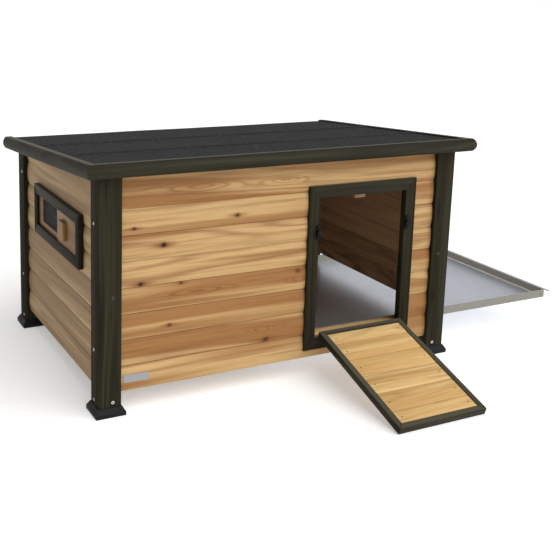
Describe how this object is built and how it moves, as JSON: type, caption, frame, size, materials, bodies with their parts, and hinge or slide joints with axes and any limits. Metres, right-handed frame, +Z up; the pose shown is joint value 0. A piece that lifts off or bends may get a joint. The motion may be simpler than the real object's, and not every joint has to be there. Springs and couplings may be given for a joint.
{
  "type": "rabbit hutch",
  "caption": "Wooden rabbit hutch of log-profile boards with a felted sloping roof, drop-down ramp door, shuttered side vent and pull-out steel tray.",
  "frame": {"origin": "centre of the whole assembly's footprint at rest (ramp down, tray drawn out), on the floor", "axes": "+X to the right seen from the doorway side and the way the tray draws out, +Y from the doorway to the rear, +Z up"},
  "size_m": [1.333, 0.9506, 0.5431],
  "materials": {
    "stained_wood": "dark grey-brown stain, low sheen, fine grain",
    "fir": "bare planed fir with brown grain and small knots",
    "felt": "bitumen felt with fine mineral granules, matte",
    "foot_plastic": "moulded, satin",
    "black_plastic": "moulded, satin",
    "bright_steel": "zinc plated",
    "galvanised": "galvanised sheet, soft sheen",
    "plate": "plain satin plate, blank"
  },
  "bodies": {
    "hutch": {"door_frame_bottom": "stained_wood", "door_frame_left": "stained_wood", "door_frame_right": "stained_wood", "door_frame_top": "stained_wood", "door_stop": "fir", "end_wall_battens": "fir", "foot_front_left": "foot_plastic", "foot_front_right": "foot_plastic", "foot_rear_left": "foot_plastic", "foot_rear_right": "foot_plastic", "foot_screws": "bright_steel", "frame_hinge_leaves": "bright_steel", "front_board_1": "fir", "front_board_2": "fir", "front_board_3": "fir", "front_board_4": "fir", "front_board_5": "fir", "front_board_6": "fir", "front_board_7": "fir", "front_board_8": "fir", "front_wall_battens": "fir", "hinge_pins": "bright_steel", "latch_screws": "bright_steel", "left_board_1": "fir", "left_board_2": "fir", "left_board_3": "fir", "left_board_4": "fir", "left_board_5": "fir", "left_board_6": "fir", "left_board_7": "fir", "left_board_8": "fir", "nameplate": "plate", "panel_screws": "bright_steel", "post_front_left": "stained_wood", "post_front_right": "stained_wood", "post_rear_left": "stained_wood", "post_rear_right": "stained_wood", "rear_wall_battens": "fir", "rear_wall_boards": "fir", "right_wall_boards": "fir", "roof_felt": "felt", "roof_panel": "fir", "roof_trim_front": "stained_wood", "roof_trim_left": "stained_wood", "roof_trim_right": "stained_wood", "tray_runner_front": "fir", "tray_runner_rear": "fir", "vent_frame": "stained_wood", "vent_grille": "black_plastic", "vent_liner": "fir"},
    "ramp": {"ramp_frame": "stained_wood", "ramp_boards": "fir", "ramp_battens": "fir", "ramp_nails": "bright_steel", "ramp_hinge_leaves": "bright_steel"},
    "tray_body": {"tray": "galvanised"},
    "shutter": {"vent_shutter": "fir", "shutter_pull": "fir"},
    "latch_left_body": {"latch_left": "black_plastic"},
    "latch_right_body": {"latch_right": "black_plastic"}
  },
  "joints": [
    {"name": "ramp_hinge", "type": "hinge", "parent": "hutch", "child": "ramp", "pos_m": [0.013, -0.15501, 0.093], "axis": [-1, 0, 0], "range_deg": [0, 106.94]},
    {"name": "tray_slide", "type": "slide", "parent": "hutch", "child": "tray_body", "axis": [1, 0, 0], "range_m": [-0.385, 0.3]},
    {"name": "shutter_slide", "type": "slide", "parent": "hutch", "child": "shutter", "axis": [0, 1, 0], "range_m": [0, 0.15]},
    {"name": "latch_left_turn", "type": "hinge", "parent": "hutch", "child": "latch_left_body", "pos_m": [-0.1103, -0.15171, 0.346], "axis": [0, -1, 0], "range_deg": [-90, 90]},
    {"name": "latch_right_turn", "type": "hinge", "parent": "hutch", "child": "latch_right_body", "pos_m": [0.1363, -0.15171, 0.346], "axis": [0, -1, 0], "range_deg": [-90, 90]}
  ]
}
